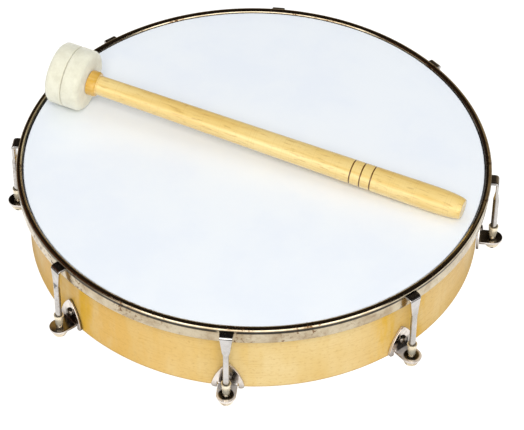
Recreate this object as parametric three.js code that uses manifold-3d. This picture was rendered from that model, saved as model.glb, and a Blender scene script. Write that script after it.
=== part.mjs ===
// A tunable hand drum with its felt beater lying on the head.
// Millimetres, +Z up. The origin is on the table under the drum's axis, and -Y is the front.
// Eight claw hooks pull the hoop down over the head. Each hook's rod ends in a tapered ferrule,
// and a dome-headed screw comes up through the lug's shelf into that ferrule.

import * as THREE from 'three';
import { mergeVertices } from 'three/addons/utils/BufferGeometryUtils.js';
import Module from 'manifold-3d';

const wasm = await Module();
wasm.setup();

// Clearance between neighbouring pieces, and travel of the hoop when the head is tuned
const gap = 0.3;
const tightTravel = 1.5;
const slackTravel = 1.5;

// How far a cutting tool reaches past what it cuts
const overcut = 1;

// Facets round each kind of piece, and along its curves
const ringSteps = 64;
const rodSteps = 10;
const handleSteps = 18;
const feltSteps = 26;
const cornerSteps = 2;
const bendSteps = 3;
const beadSteps = 10;
const buttSteps = 4;
const curveSteps = 4;
const shelfSteps = 6;

// Shell: a bent wooden ring with a bearing edge on top
const shellRadius = 126;
const shellWall = 6;
const shellHeight = 48.3;
const footRound = 1.2;
const bearingRound = 1.8;
const bearingFlat = 0.4;

// Head: a plastic film with a formed edge and a turned-down collar
const filmThickness = 0.4;
const filmRound = 0.6;
const collarDrop = 3.2;

// Flesh hoop: the channel that grips the collar
const channelFloor = 0.8;
const channelInnerWall = 0.6;
const channelOuterWall = 1.7;

// Tension hoop: a rolled bead over a plain skirt
const skirtThickness = 1.2;
const skirtDrop = 6.9;
const beadHeight = 3.8;
const beadRise = 1.3;
const beadInnerClear = 0.4;
const beadOverhang = 0.7;

// Claw hooks
const hookCount = 8;
const hookThickness = 1.6;
const hookWidth = 7.4;
const hookWaist = 4.4;
const hookBend = 2;
const hookDrop = 2.3;
const hookPlate = 11.4;
const hookShoulder = 2.8;
const rodDiameter = 3.4;

// Ferrules and tension screws
const ferruleHeight = 7;
const ferruleTopWall = 0.75;
const ferruleFootWall = 0.4;
const shankDiameter = 2.8;
const shankEngagement = 2.4;
const screwHeadDiameter = 8.4;
const screwHeadHeight = 4.3;
const screwHeadFlat = 5;
const screwHeadRim = 1.2;
const screwSlotWidth = 1.1;
const screwSlotDepth = 0.8;

// Lugs: three-cornered plates with bulging sides and a tongue bent out as a shelf, and their rivets
const lugThickness = 1.4;
const lugEar = 3.1;
const lugPeak = 8.8;
const lugCrown = 1.6;
const lugCrownDrop = 1;
const lugSideBulge = 1.1;
const lugFootRise = 0.9;
const lugCornerRound = 2.2;
const lugReach = 9.2;
const lugBend = 1;
const shelfRise = 3.8;
const shelfWidth = 10.6;
const shelfTip = 5.6;
const shelfRelief = 0.5;
const rivetRise = 10;
const rivetDiameter = 3;
const rivetHeadDiameter = 4.8;
const rivetHeadHeight = 1.5;
const rivetClinchHeight = 1;

// Beater: a turned handle and two felt discs
const feltDiameter = 35.2;
const feltDisc = 10.1;
const feltRound = 3;
const feltSeamRound = 0.8;
const tenonDiameter = 8;
const collarDiameter = 14.4;
const collarRim = 12.6;
const collarLength = 5.2;
const collarChamfer = 1.6;
const neckDiameter = 10.3;
const neckLength = 1;
const shaftDiameter = 11.5;
const shaftLength = 151.8;
const gripDiameter = 14.3;
const gripTaper = 42;
const gripBelly = 7.3;
const buttDiameter = 10.2;
const buttRound = 17;
const grooveCount = 3;
const grooveInset = 2;
const groovePitch = 6;
const grooveWidth = 0.8;
const grooveDepth = 0.4;

// How the beater lies on the head: its turn, its distance from the middle, and the felt's from the bead
const beaterTurn = THREE.MathUtils.degToRad(-17.66);
const beaterOffset = 3.1;
const feltEdgeClear = 5.05;

// Heights worked out from the sizes above, upwards from the table
const shelfUnder = screwHeadHeight + gap;
const shelfTop = shelfUnder + lugThickness;
const shellBottom = shelfTop - shelfRise;
const shellTop = shellBottom + shellHeight;
const filmUnder = shellTop + gap;
const filmTop = filmUnder + filmThickness;
const beadTop = filmTop + beadRise;
const beadBottom = beadTop - beadHeight;
const filmBend = filmTop - filmRound;
const collarEnd = filmBend - collarDrop;
const channelTop = beadBottom - gap;
const channelInnerTop = filmBend - slackTravel;
const channelFloorTop = collarEnd - slackTravel - gap;
const channelBottom = channelFloorTop - channelFloor;
const skirtBottom = beadBottom - skirtDrop;
const lipTop = beadTop - hookDrop;
const lipUnder = lipTop - hookThickness;
const ferruleFoot = shelfTop + tightTravel + gap;
const ferruleTop = ferruleFoot + ferruleHeight;
const shankTop = ferruleFoot + shankEngagement;
const rodEnd = shankTop + tightTravel + gap;
const rivetHeight = shellBottom + rivetRise;

// Radii worked out from the shell outwards
const shellInner = shellRadius - shellWall;
const channelInner = shellRadius + gap;
const channelSlot = channelInner + channelInnerWall;
const collarInner = channelSlot + gap;
const collarOuter = collarInner + filmThickness;
const channelWall = collarOuter + gap;
const channelOuter = channelWall + channelOuterWall;
const skirtInner = channelOuter + gap;
const skirtOuter = skirtInner + skirtThickness;
const beadInner = collarOuter + beadInnerClear;
const beadOuter = skirtOuter + beadOverhang;
const screwCircle = shellRadius + lugReach;
const lugBack = shellRadius + gap;
const lugFront = lugBack + lugThickness;

// Places along the beater's axis, from the front of its felt
const feltFront = gap;
const feltSeam = feltFront + feltDisc;
const feltBack = feltSeam + gap + feltDisc;
const shaftStart = collarLength + neckLength;
const gripStart = shaftStart + shaftLength;
const bellyStart = gripStart + gripTaper;
const buttStart = bellyStart + gripBelly;
const handleLength = buttStart + buttRound;

// Finishes
function finish(name, color, roughness, metalness) {
  return new THREE.MeshStandardMaterial({ name, color, roughness, metalness });
}

const maple = finish('maple', 0xe8c48a, 0.45, 0);
const film = finish('film', 0xeef1f7, 0.5, 0);
const nickel = finish('nickel', 0xcfc6b8, 0.2, 1);
const aluminium = finish('aluminium', 0xb9bbbd, 0.4, 1);
const beech = finish('beech', 0xe6bb62, 0.4, 0);
const felt = finish('felt', 0xefebdc, 1, 0);

const axisX = new THREE.Vector3(1, 0, 0);
const axisY = new THREE.Vector3(0, 1, 0);
const axisZ = new THREE.Vector3(0, 0, 1);
const quarterTurn = Math.PI / 2;

// A closed solid from a geometry, with its shared vertices merged and its empty triangles dropped
function toSolid(geometry) {
  const bare = geometry.clone();
  bare.deleteAttribute('normal');
  bare.deleteAttribute('uv');
  const merged = mergeVertices(bare);
  const triangles = [];
  for (let i = 0; i < merged.index.count; i += 3) {
    const corners = [0, 1, 2].map((k) => merged.index.getX(i + k));
    if (new Set(corners).size === 3) triangles.push(...corners);
  }
  return new wasm.Manifold(new wasm.Mesh({
    numProp: 3,
    vertProperties: new Float32Array(merged.attributes.position.array),
    triVerts: new Uint32Array(triangles),
  }));
}

// A geometry from a closed solid
function toGeometry(solid) {
  const mesh = solid.getMesh();
  const geometry = new THREE.BufferGeometry();
  geometry.setAttribute('position', new THREE.BufferAttribute(new Float32Array(mesh.vertProperties), 3));
  geometry.setIndex(new THREE.BufferAttribute(new Uint32Array(mesh.triVerts), 1));
  geometry.computeVertexNormals();
  return geometry;
}

function makeMesh(name, solid, material) {
  const mesh = new THREE.Mesh(toGeometry(solid), material);
  mesh.name = name;
  return mesh;
}

// Points of an arc in a profile, as radius and height, between two angles in degrees
function arc(centreX, centreY, radiusX, radiusY, from, to, steps) {
  return Array.from({ length: steps + 1 }, (_, i) => {
    const angle = THREE.MathUtils.degToRad(from + ((to - from) * i) / steps);
    return [centreX + radiusX * Math.cos(angle), centreY + radiusY * Math.sin(angle)];
  });
}

// A turned solid: a profile of radius and height, revolved about +Z.
// The profile runs outwards along the bottom, up the outside and back along the top.
function revolve(profile, steps) {
  const points = profile.map(([radius, height]) => new THREE.Vector2(radius, height));
  return toSolid(new THREE.LatheGeometry(points, steps).rotateX(quarterTurn));
}

function closed(profile) {
  return [...profile, profile[0]];
}

// An outline extruded straight
function extrude(shape, depth, curveSegments) {
  return new THREE.ExtrudeGeometry(shape, { depth, curveSegments, bevelEnabled: false });
}

// A solid with its side view drawn as radius and height, width wide across the radius
function acrossRadius(shape, width) {
  const geometry = extrude(shape, width, curveSteps);
  geometry.translate(0, 0, -width / 2);
  const sideways = new THREE.Matrix4().makeBasis(axisX, axisZ, axisY.clone().negate());
  return toSolid(geometry.applyMatrix4(sideways));
}

// A solid with its front view drawn as breadth and height, between two radii
function alongRadius(shape, from, to) {
  const geometry = extrude(shape, to - from, curveSteps);
  geometry.translate(0, 0, from);
  return toSolid(geometry.applyMatrix4(new THREE.Matrix4().makeBasis(axisY, axisZ, axisX)));
}

// A solid with its plan drawn as radius and breadth, between two heights
function upwards(shape, from, to) {
  return toSolid(extrude(shape, to - from, shelfSteps).translate(0, 0, from));
}

function block(radius, height, depth, breadth, tallness) {
  return toSolid(new THREE.BoxGeometry(depth, breadth, tallness).translate(radius, 0, height));
}

// Control point of a curve between two points that bulges to the right of its way
function bulgeControl(from, to, bulge) {
  const along = to.clone().sub(from);
  const outwards = new THREE.Vector2(along.y, -along.x).setLength(2 * bulge);
  return from.clone().add(to).multiplyScalar(0.5).add(outwards);
}

// The same solid at each hook's place round the drum, the first at the front
function hookAngle(index) {
  return -quarterTurn + (index * 2 * Math.PI) / hookCount;
}

function aroundDrum(solid) {
  return Array.from({ length: hookCount }, (_, i) => {
    return solid.rotate([0, 0, THREE.MathUtils.radToDeg(hookAngle(i))]);
  });
}

function cutAroundDrum(solid, tool) {
  return aroundDrum(tool).reduce((left, cut) => left.subtract(cut), solid);
}

function radialPin(diameter, from, to, height) {
  const pin = new THREE.CylinderGeometry(diameter / 2, diameter / 2, to - from, rodSteps);
  return toSolid(pin.rotateZ(quarterTurn).translate((from + to) / 2, 0, height));
}

// Shell, with a round foot, a round-over outside the bearing edge and a long chamfer inside it
function makeShell() {
  const crest = shellRadius - bearingRound;
  const chamfer = crest - bearingFlat - shellInner;
  const profile = closed([
    ...arc(shellInner + footRound, shellBottom + footRound, footRound, footRound, 180, 270, cornerSteps),
    ...arc(shellRadius - footRound, shellBottom + footRound, footRound, footRound, 270, 360, cornerSteps),
    ...arc(crest, shellTop - bearingRound, bearingRound, bearingRound, 0, 90, bendSteps),
    [crest - bearingFlat, shellTop],
    [shellInner, shellTop - chamfer],
  ]);
  const hole = radialPin(rivetDiameter + 2 * gap, shellInner - overcut, shellRadius + overcut, rivetHeight);
  return makeMesh('shell', cutAroundDrum(revolve(profile, ringSteps), hole), maple);
}

// Head: a flat film that turns down outside the bearing edge into its collar
function makeHead() {
  const edge = collarOuter - filmRound;
  const innerRound = filmRound - filmThickness;
  const profile = [
    [0, filmUnder],
    ...arc(edge, filmBend, innerRound, innerRound, 90, 0, bendSteps),
    [collarInner, collarEnd],
    [collarOuter, collarEnd],
    ...arc(edge, filmBend, filmRound, filmRound, 0, 90, bendSteps),
    [0, filmTop],
  ];
  return makeMesh('drum_head', revolve(profile, ringSteps), film);
}

// Flesh hoop: a channel open at the top, with a low inner wall under the film's bend
function makeFleshHoop() {
  const profile = closed([
    [channelInner, channelBottom],
    [channelOuter, channelBottom],
    [channelOuter, channelTop],
    [channelWall, channelTop],
    [channelWall, channelFloorTop],
    [channelSlot, channelFloorTop],
    [channelSlot, channelInnerTop],
    [channelInner, channelInnerTop],
  ]);
  return makeMesh('flesh_hoop', revolve(profile, ringSteps), aluminium);
}

// Tension hoop: the bead is a roll over the skirt, and a slot into it takes each hook's lip
function makeTensionHoop() {
  const centre = (beadInner + beadOuter) / 2;
  const halfWidth = (beadOuter - beadInner) / 2;
  const halfHeight = beadHeight / 2;
  const outerMeet = -THREE.MathUtils.radToDeg(Math.acos((skirtOuter - centre) / halfWidth));
  const innerMeet = 360 - THREE.MathUtils.radToDeg(Math.acos((skirtInner - centre) / halfWidth));
  const profile = closed([
    [skirtInner, skirtBottom],
    [skirtOuter, skirtBottom],
    ...arc(centre, beadTop - halfHeight, halfWidth, halfHeight, outerMeet, innerMeet, beadSteps),
  ]);
  const slotTop = lipTop + gap;
  const slotUnder = lipUnder - gap;
  const slot = block(
    (skirtInner + skirtOuter) / 2,
    (slotUnder + slotTop) / 2,
    skirtThickness + 2 * overcut,
    hookWidth + 2 * gap,
    slotTop - slotUnder,
  );
  return makeMesh('tension_hoop', cutAroundDrum(revolve(profile, ringSteps), slot), nickel);
}

// Claw hook: a strip bent inwards at the top, narrowing through its shoulders into a round rod
function makeHookSolid() {
  const face = screwCircle + hookThickness / 2;
  const back = screwCircle - hookThickness / 2;
  const bendInside = hookBend - hookThickness;
  const plateEnd = lipTop - hookPlate - hookShoulder;
  const side = new THREE.Shape();
  side.moveTo(skirtInner, lipUnder);
  side.lineTo(back - bendInside, lipUnder);
  side.absarc(back - bendInside, lipUnder - bendInside, bendInside, quarterTurn, 0, true);
  side.lineTo(back, plateEnd);
  side.lineTo(face, plateEnd);
  side.lineTo(face, lipTop - hookBend);
  side.absarc(face - hookBend, lipTop - hookBend, hookBend, 0, quarterTurn, false);
  side.lineTo(skirtInner, lipTop);
  side.closePath();

  const wide = hookWidth / 2;
  const waist = hookWaist / 2;
  const narrow = rodDiameter / 2;
  const waistHeight = lipTop - hookPlate;
  const middle = (waistHeight + plateEnd) / 2;
  const front = new THREE.Shape();
  front.moveTo(-narrow, plateEnd);
  front.lineTo(narrow, plateEnd);
  front.bezierCurveTo(narrow, middle, waist, middle, waist, waistHeight);
  front.lineTo(wide, lipTop);
  front.lineTo(-wide, lipTop);
  front.lineTo(-waist, waistHeight);
  front.bezierCurveTo(-waist, middle, -narrow, middle, -narrow, plateEnd);

  const strip = acrossRadius(side, hookWidth).intersect(alongRadius(front, skirtInner, face));
  const rodTop = plateEnd + hookShoulder / 2;
  const rod = new THREE.CylinderGeometry(rodDiameter / 2, rodDiameter / 2, rodTop - rodEnd, rodSteps);
  return strip.add(toSolid(rod.rotateX(quarterTurn).translate(screwCircle, 0, (rodTop + rodEnd) / 2)));
}

// Ferrule: a tapered nut, bored for the screw below and for the rod above
function makeFerruleSolid() {
  const rodBore = rodDiameter / 2 + gap;
  const screwBore = shankDiameter / 2 + gap;
  const seat = rodEnd - gap;
  const profile = closed([
    [screwBore, ferruleFoot],
    [screwBore + ferruleFootWall, ferruleFoot],
    [rodBore + ferruleTopWall, ferruleTop],
    [rodBore, ferruleTop],
    [rodBore, seat],
    [screwBore, seat],
  ]);
  return revolve(profile, rodSteps).translate([screwCircle, 0, 0]);
}

// Tension screw: a bowl-shaped slotted head that the drum stands on, and its shank
function makeScrewSolid() {
  const rim = screwHeadDiameter / 2;
  const flat = screwHeadFlat / 2;
  const rimFoot = screwHeadHeight - screwHeadRim;
  const profile = [
    [0, 0],
    ...arc(flat, rimFoot, rim - flat, rimFoot, -90, 0, bendSteps),
    [rim, screwHeadHeight],
    [shankDiameter / 2, screwHeadHeight],
    [shankDiameter / 2, shankTop],
    [0, shankTop],
  ];
  const slotMiddle = (screwSlotDepth - overcut) / 2;
  const slot = block(0, slotMiddle, screwSlotWidth, 2 * screwHeadDiameter, screwSlotDepth + overcut);
  return revolve(profile, rodSteps).subtract(slot).translate([screwCircle, 0, 0]);
}

// Outline of a lug's plate as breadth and height: round ears, bulging sides and a round peak
function lugOutline(half, foot, peak) {
  const ear = new THREE.Vector2(half, foot + lugCornerRound);
  const crown = new THREE.Vector2(lugCrown, peak - lugCrownDrop);
  const side = bulgeControl(ear, crown, lugSideBulge);
  const shape = new THREE.Shape();
  shape.moveTo(lugCornerRound - half, foot);
  shape.lineTo(half - lugCornerRound, foot);
  shape.quadraticCurveTo(half, foot, ear.x, ear.y);
  shape.quadraticCurveTo(side.x, side.y, crown.x, crown.y);
  shape.quadraticCurveTo(0, peak + lugCrownDrop, -crown.x, crown.y);
  shape.quadraticCurveTo(-side.x, side.y, -ear.x, ear.y);
  shape.quadraticCurveTo(-half, foot, lugCornerRound - half, foot);
  return shape;
}

// Lug: a plate against the shell, with its middle tongue bent out below as the shelf
function makeLugSolid() {
  const foot = shellBottom + lugFootRise;
  const notchWidth = shelfWidth + 2 * shelfRelief;
  const half = notchWidth / 2 + lugEar;
  const plate = lugOutline(half, foot, rivetHeight + lugPeak);
  const bendTop = shelfTop + lugBend;
  const plateMiddle = (lugBack + lugFront) / 2;
  const notch = block(plateMiddle, foot, lugThickness + 2 * overcut, notchWidth, 2 * (bendTop - foot));

  const tip = screwCircle + shelfTip;
  const side = new THREE.Shape();
  side.moveTo(lugBack, bendTop + lugThickness);
  side.lineTo(lugBack, bendTop);
  side.absarc(lugFront + lugBend, bendTop, lugBend + lugThickness, Math.PI, 1.5 * Math.PI, false);
  side.lineTo(tip, shelfUnder);
  side.lineTo(tip, shelfTop);
  side.lineTo(lugFront + lugBend, shelfTop);
  side.absarc(lugFront + lugBend, bendTop, lugBend, 1.5 * Math.PI, Math.PI, true);
  side.lineTo(lugFront, bendTop + lugThickness);
  side.closePath();

  const round = shelfWidth / 2;
  const plan = new THREE.Shape();
  plan.moveTo(lugBack, -round);
  plan.absarc(tip - round, 0, round, -quarterTurn, quarterTurn, false);
  plan.lineTo(lugBack, round);
  plan.closePath();

  const tongue = acrossRadius(side, shelfWidth)
    .intersect(upwards(plan, shelfUnder - overcut, bendTop + lugThickness + overcut));
  const screwHole = new THREE.CylinderGeometry(
    shankDiameter / 2 + gap,
    shankDiameter / 2 + gap,
    lugThickness + 2 * overcut,
    rodSteps,
  );
  const bore = toSolid(screwHole.rotateX(quarterTurn).translate(screwCircle, 0, (shelfUnder + shelfTop) / 2));
  const rivetHole = radialPin(rivetDiameter + 2 * gap, lugBack - overcut, lugFront + overcut, rivetHeight);
  return alongRadius(plate, lugBack, lugFront)
    .subtract(notch)
    .add(tongue)
    .subtract(bore)
    .subtract(rivetHole);
}

// Rivet: a low domed head outside the lug, and a flat clinched end inside the shell
function makeRivetSolid() {
  const headFoot = lugFront + gap;
  const clinch = shellInner - gap;
  const headRadius = rivetHeadDiameter / 2;
  const profile = [
    [0, clinch - rivetClinchHeight],
    [headRadius, clinch - rivetClinchHeight],
    [headRadius, clinch],
    [rivetDiameter / 2, clinch],
    [rivetDiameter / 2, headFoot],
    ...arc(0, headFoot, headRadius, rivetHeadHeight, 0, 90, cornerSteps),
  ];
  return revolve(profile, rodSteps).rotate([0, 90, 0]).translate([0, 0, rivetHeight]);
}

// Handle: a tenon through the felt, a collar and neck, then a long taper to the grip and a round butt
function makeHandleProfile() {
  const grooveStart = gripStart + grooveInset;
  const grooves = Array.from({ length: grooveCount }, (_, i) => grooveStart + i * groovePitch);
  const gripRadius = gripDiameter / 2;
  const buttRadius = buttDiameter / 2;
  const shaftRadius = shaftDiameter / 2;
  const taper = (along) => THREE.MathUtils.mapLinear(along, shaftStart, bellyStart, shaftRadius, gripRadius);
  const grooveCuts = grooves.flatMap((along) => [
    [taper(along - grooveWidth / 2), along - grooveWidth / 2],
    [taper(along) - grooveDepth, along],
    [taper(along + grooveWidth / 2), along + grooveWidth / 2],
  ]);
  return [
    [0, -feltBack],
    [tenonDiameter / 2, -feltBack],
    [tenonDiameter / 2, 0],
    [collarDiameter / 2, 0],
    [collarDiameter / 2, collarLength - collarChamfer],
    [collarRim / 2, collarLength],
    [neckDiameter / 2, collarLength + neckLength / 2],
    [shaftRadius, shaftStart],
    ...grooveCuts,
    [gripRadius, bellyStart],
    ...arc(buttRadius, buttStart, gripRadius - buttRadius, buttRound, 0, 90, buttSteps),
    [0, handleLength],
  ];
}

// Felt disc: soft outer edge, tighter edge at the seam between the two discs
function makeFeltDisc(name, bottom, bottomRound, topRound) {
  const bore = tenonDiameter / 2 + gap;
  const radius = feltDiameter / 2;
  const top = bottom + feltDisc;
  const profile = closed([
    [bore, bottom],
    ...arc(radius - bottomRound, bottom + bottomRound, bottomRound, bottomRound, -90, 0, bendSteps),
    ...arc(radius - topRound, top - topRound, topRound, topRound, 0, 90, bendSteps),
    [bore, top],
  ]);
  return makeMesh(name, revolve(profile, feltSteps), felt);
}

// Radius of a turned profile at a place along its axis
function radiusAlong(profile, along) {
  const next = profile.findIndex((point) => point[1] > along);
  const [radiusBefore, before] = profile[next - 1];
  const [radiusAfter, after] = profile[next];
  return THREE.MathUtils.mapLinear(along, before, after, radiusBefore, radiusAfter);
}

// The dip at which the handle first touches the film, or the bead where it reaches that far.
// It turns about the felt's lowest point, feltPlace along from the middle of the head.
function restingDip(profile, feltPlace, feltContact) {
  const beadEdges = [beadInner, beadOuter]
    .map((radius) => Math.sqrt(radius ** 2 - beaterOffset ** 2) - feltPlace)
    .filter((along) => along < handleLength);
  const points = [
    ...profile.filter(([, along]) => along > 0),
    ...beadEdges.map((along) => [radiusAlong(profile, along), along]),
  ];
  const dips = points.map(([radius, along]) => {
    const fall = feltDiameter / 2 - radius;
    const run = along - feltContact;
    const rise = along >= beadEdges[0] ? beadRise : 0;
    return Math.atan2(fall, run) - Math.asin(rise / Math.hypot(fall, run));
  });
  return Math.min(...dips);
}

// The beater lies with its front felt disc and the butt of its grip on the head
function makeBeater() {
  const handleProfile = makeHandleProfile();
  const beater = new THREE.Group();
  beater.add(
    makeMesh('beater_handle', revolve(handleProfile, handleSteps), beech),
    makeFeltDisc('beater_felt_front', -feltSeam, feltSeamRound, feltRound),
    makeFeltDisc('beater_felt_back', -feltBack, feltRound, feltSeamRound),
  );
  const feltContact = -(feltFront + feltRound);
  const feltPlace = feltBack - (beadInner - feltEdgeClear);
  const dip = restingDip(handleProfile, feltPlace, feltContact);
  const axisHeight = filmTop + gap + (feltDiameter / 2) * Math.cos(dip) + feltContact * Math.sin(dip);
  beater.position.set(feltPlace, beaterOffset, axisHeight).applyAxisAngle(axisZ, beaterTurn);
  beater.rotation.set(0, quarterTurn + dip, beaterTurn, 'ZYX');
  return beater;
}

// One hook station: the hook with its ferrule and screw, and the lug with its rivet
function makeStation(index) {
  const station = new THREE.Group();
  const number = index + 1;
  station.add(
    makeMesh(`hook_${number}`, hookSolid, nickel),
    makeMesh(`ferrule_${number}`, ferruleSolid, nickel),
    makeMesh(`tension_screw_${number}`, screwSolid, nickel),
    makeMesh(`lug_${number}`, lugSolid, nickel),
    makeMesh(`lug_rivet_${number}`, rivetSolid, nickel),
  );
  station.rotation.z = hookAngle(index);
  return station;
}

const hookSolid = makeHookSolid();
const ferruleSolid = makeFerruleSolid();
const screwSolid = makeScrewSolid();
const lugSolid = makeLugSolid();
const rivetSolid = makeRivetSolid();

const drum = new THREE.Group();
drum.name = 'hand_drum';
drum.add(makeShell(), makeHead(), makeFleshHoop(), makeTensionHoop());
for (let index = 0; index < hookCount; index += 1) {
  drum.add(makeStation(index));
}
drum.add(makeBeater());

export default drum;
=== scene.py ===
"""Looks of a tunable hand drum and its felt beater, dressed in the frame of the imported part."""

import math
from itertools import product

import bpy
import numpy as np
from mathutils import Matrix, Vector, noise


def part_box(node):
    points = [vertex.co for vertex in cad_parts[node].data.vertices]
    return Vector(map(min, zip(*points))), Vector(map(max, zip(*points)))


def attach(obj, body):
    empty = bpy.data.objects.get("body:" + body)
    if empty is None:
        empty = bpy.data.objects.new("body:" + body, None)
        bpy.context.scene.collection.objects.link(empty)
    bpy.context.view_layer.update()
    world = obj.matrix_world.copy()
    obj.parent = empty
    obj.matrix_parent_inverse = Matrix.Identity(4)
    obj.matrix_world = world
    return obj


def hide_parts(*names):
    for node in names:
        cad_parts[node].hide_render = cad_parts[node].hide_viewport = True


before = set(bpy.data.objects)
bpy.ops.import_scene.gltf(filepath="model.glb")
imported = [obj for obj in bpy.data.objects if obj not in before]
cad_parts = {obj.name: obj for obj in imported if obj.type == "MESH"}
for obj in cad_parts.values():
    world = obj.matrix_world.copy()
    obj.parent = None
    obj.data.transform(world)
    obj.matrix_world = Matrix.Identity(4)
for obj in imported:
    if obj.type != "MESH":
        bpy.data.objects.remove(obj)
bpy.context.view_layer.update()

MM = 0.001
FULL_TURN = 2 * math.pi
QUARTER_TURN = math.pi / 2
HOOK_COUNT = 8
STATION_ANGLE = FULL_TURN / HOOK_COUNT
FIRST_ANGLE = -QUARTER_TURN
GAP = 0.3 * MM
CLOSE_FIT = 0.05 * MM

# Facets round each kind of turned piece
RING_STEPS = 288
ROD_STEPS = 48
FELT_STEPS = 168
HANDLE_STEPS = 96


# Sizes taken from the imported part


def extent(node):
    """Outer radius about the drum's axis, lowest and highest point of a ring-shaped node."""
    low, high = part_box(node)
    return high.x, low.z, high.z


SHELL_RADIUS, SHELL_BOTTOM, SHELL_TOP = extent("shell")
HEAD_RADIUS, COLLAR_END, FILM_TOP = extent("drum_head")
CHANNEL_OUTER, CHANNEL_BOTTOM, CHANNEL_TOP = extent("flesh_hoop")
BEAD_OUTER, SKIRT_BOTTOM, BEAD_TOP = extent("tension_hoop")

ferrule_low, ferrule_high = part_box("ferrule_1")
screw_low, screw_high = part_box("tension_screw_1")
lug_low, lug_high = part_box("lug_1")
hook_low, hook_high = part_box("hook_1")
rivet_low, rivet_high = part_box("lug_rivet_1")

SCREW_CIRCLE = -(screw_low.y + screw_high.y) / 2
SHANK_TOP = screw_high.z
FERRULE_FOOT = ferrule_low.z
FERRULE_TOP = ferrule_high.z
LUG_BACK = -lug_high.y
LUG_FOOT = lug_low.z
LUG_PEAK = lug_high.z
SHELF_TIP = -lug_low.y
LIP_START = -hook_high.y
LIP_TOP = hook_high.z
ROD_END = hook_low.z
RIVET_HEIGHT = (rivet_low.z + rivet_high.z) / 2
RIVET_CLINCH = -rivet_high.y
RIVET_CROWN = -rivet_low.y

# Sizes of the pieces' own forms
SHELL_WALL = 6 * MM
PLY_THICKNESS = 1.2 * MM
FOOT_ROUND = 1.2 * MM
BEARING_ROUND = 1.8 * MM
BEARING_FLAT = 0.4 * MM
FILM_THICKNESS = 0.4 * MM
FILM_ROUND = 0.6 * MM
CHANNEL_FLOOR = 0.8 * MM
CHANNEL_INNER_WALL = 0.6 * MM
CHANNEL_OUTER_WALL = 1.7 * MM
CHANNEL_OUTER_DROP = 0.7 * MM
SKIRT_THICKNESS = 1.2 * MM
BEAD_HEIGHT = 3.8 * MM
BEAD_INNER_CLEAR = 0.4 * MM
BEAD_OVERHANG = 0.7 * MM
SKIRT_EDGE_ROUND = 0.45 * MM
HOOK_THICKNESS = 1.6 * MM
HOOK_WIDTH = 7.4 * MM
HOOK_WAIST = 4.4 * MM
HOOK_BEND = 2 * MM
HOOK_PLATE = 11.4 * MM
HOOK_SHOULDER = 2.8 * MM
ROD_DIAMETER = 3.4 * MM
FERRULE_TOP_WALL = 0.75 * MM
FERRULE_FOOT_WALL = 0.4 * MM
SHANK_DIAMETER = 2.8 * MM
THREAD_PITCH = 0.7 * MM
THREAD_DEPTH = 0.3 * MM
SCREW_HEAD_DIAMETER = 8.4 * MM
SCREW_HEAD_HEIGHT = 4.3 * MM
SCREW_HEAD_FLAT = 5 * MM
SCREW_HEAD_RIM = 1.2 * MM
SCREW_SLOT_WIDTH = 1.1 * MM
SCREW_SLOT_DEPTH = 0.8 * MM
LUG_THICKNESS = 1.4 * MM
LUG_EAR = 3.1 * MM
LUG_CORNER_ROUND = 2.2 * MM
LUG_CROWN = 1.6 * MM
LUG_CROWN_DROP = 1 * MM
LUG_SIDE_BULGE = 1.1 * MM
LUG_BEND = 1 * MM
SHELF_WIDTH = 10.6 * MM
SHELF_RELIEF = 0.5 * MM
RIVET_DIAMETER = 3 * MM
RIVET_HEAD_DIAMETER = 4.8 * MM
RIVET_HEAD_HEIGHT = 1.5 * MM
RIVET_CLINCH_HEIGHT = 1 * MM
FELT_DIAMETER = 35.2 * MM
FELT_DISC = 10.1 * MM
FELT_ROUND = 3 * MM
FELT_SEAM_ROUND = 0.8 * MM
FIBRE_LENGTH = 0.55 * MM
FIBRE_THICKNESS = 0.03 * MM
FIBRE_SMALLEST = 0.4
FIBRE_LARGEST = 1.2
FIBRE_LEAN = 1.25
FIBRE_DENSITY = 2.4e6
TENON_DIAMETER = 8 * MM
COLLAR_DIAMETER = 14.4 * MM
COLLAR_RIM = 12.6 * MM
COLLAR_LENGTH = 5.2 * MM
COLLAR_CHAMFER = 1.6 * MM
NECK_DIAMETER = 10.3 * MM
NECK_LENGTH = 1 * MM
SHAFT_DIAMETER = 11.5 * MM
SHAFT_LENGTH = 151.8 * MM
GRIP_DIAMETER = 14.3 * MM
GRIP_TAPER = 42 * MM
GRIP_BELLY = 7.3 * MM
BUTT_DIAMETER = 10.2 * MM
BUTT_ROUND = 17 * MM
GROOVE_COUNT = 3
GROOVE_INSET = 2 * MM
GROOVE_PITCH = 6 * MM
GROOVE_WIDTH = 0.8 * MM
GROOVE_DEPTH = 0.4 * MM

# Sizes worked out from those above
SHELL_INNER = SHELL_RADIUS - SHELL_WALL
FILM_BEND = FILM_TOP - FILM_ROUND
SKIRT_OUTER = BEAD_OUTER - BEAD_OVERHANG
SKIRT_INNER = SKIRT_OUTER - SKIRT_THICKNESS
BEAD_INNER = HEAD_RADIUS + BEAD_INNER_CLEAR
SHELF_TOP = SCREW_HEAD_HEIGHT + GAP + LUG_THICKNESS
LIP_UNDER = LIP_TOP - HOOK_THICKNESS
LUG_FRONT = LUG_BACK + LUG_THICKNESS


# Node trees


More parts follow.
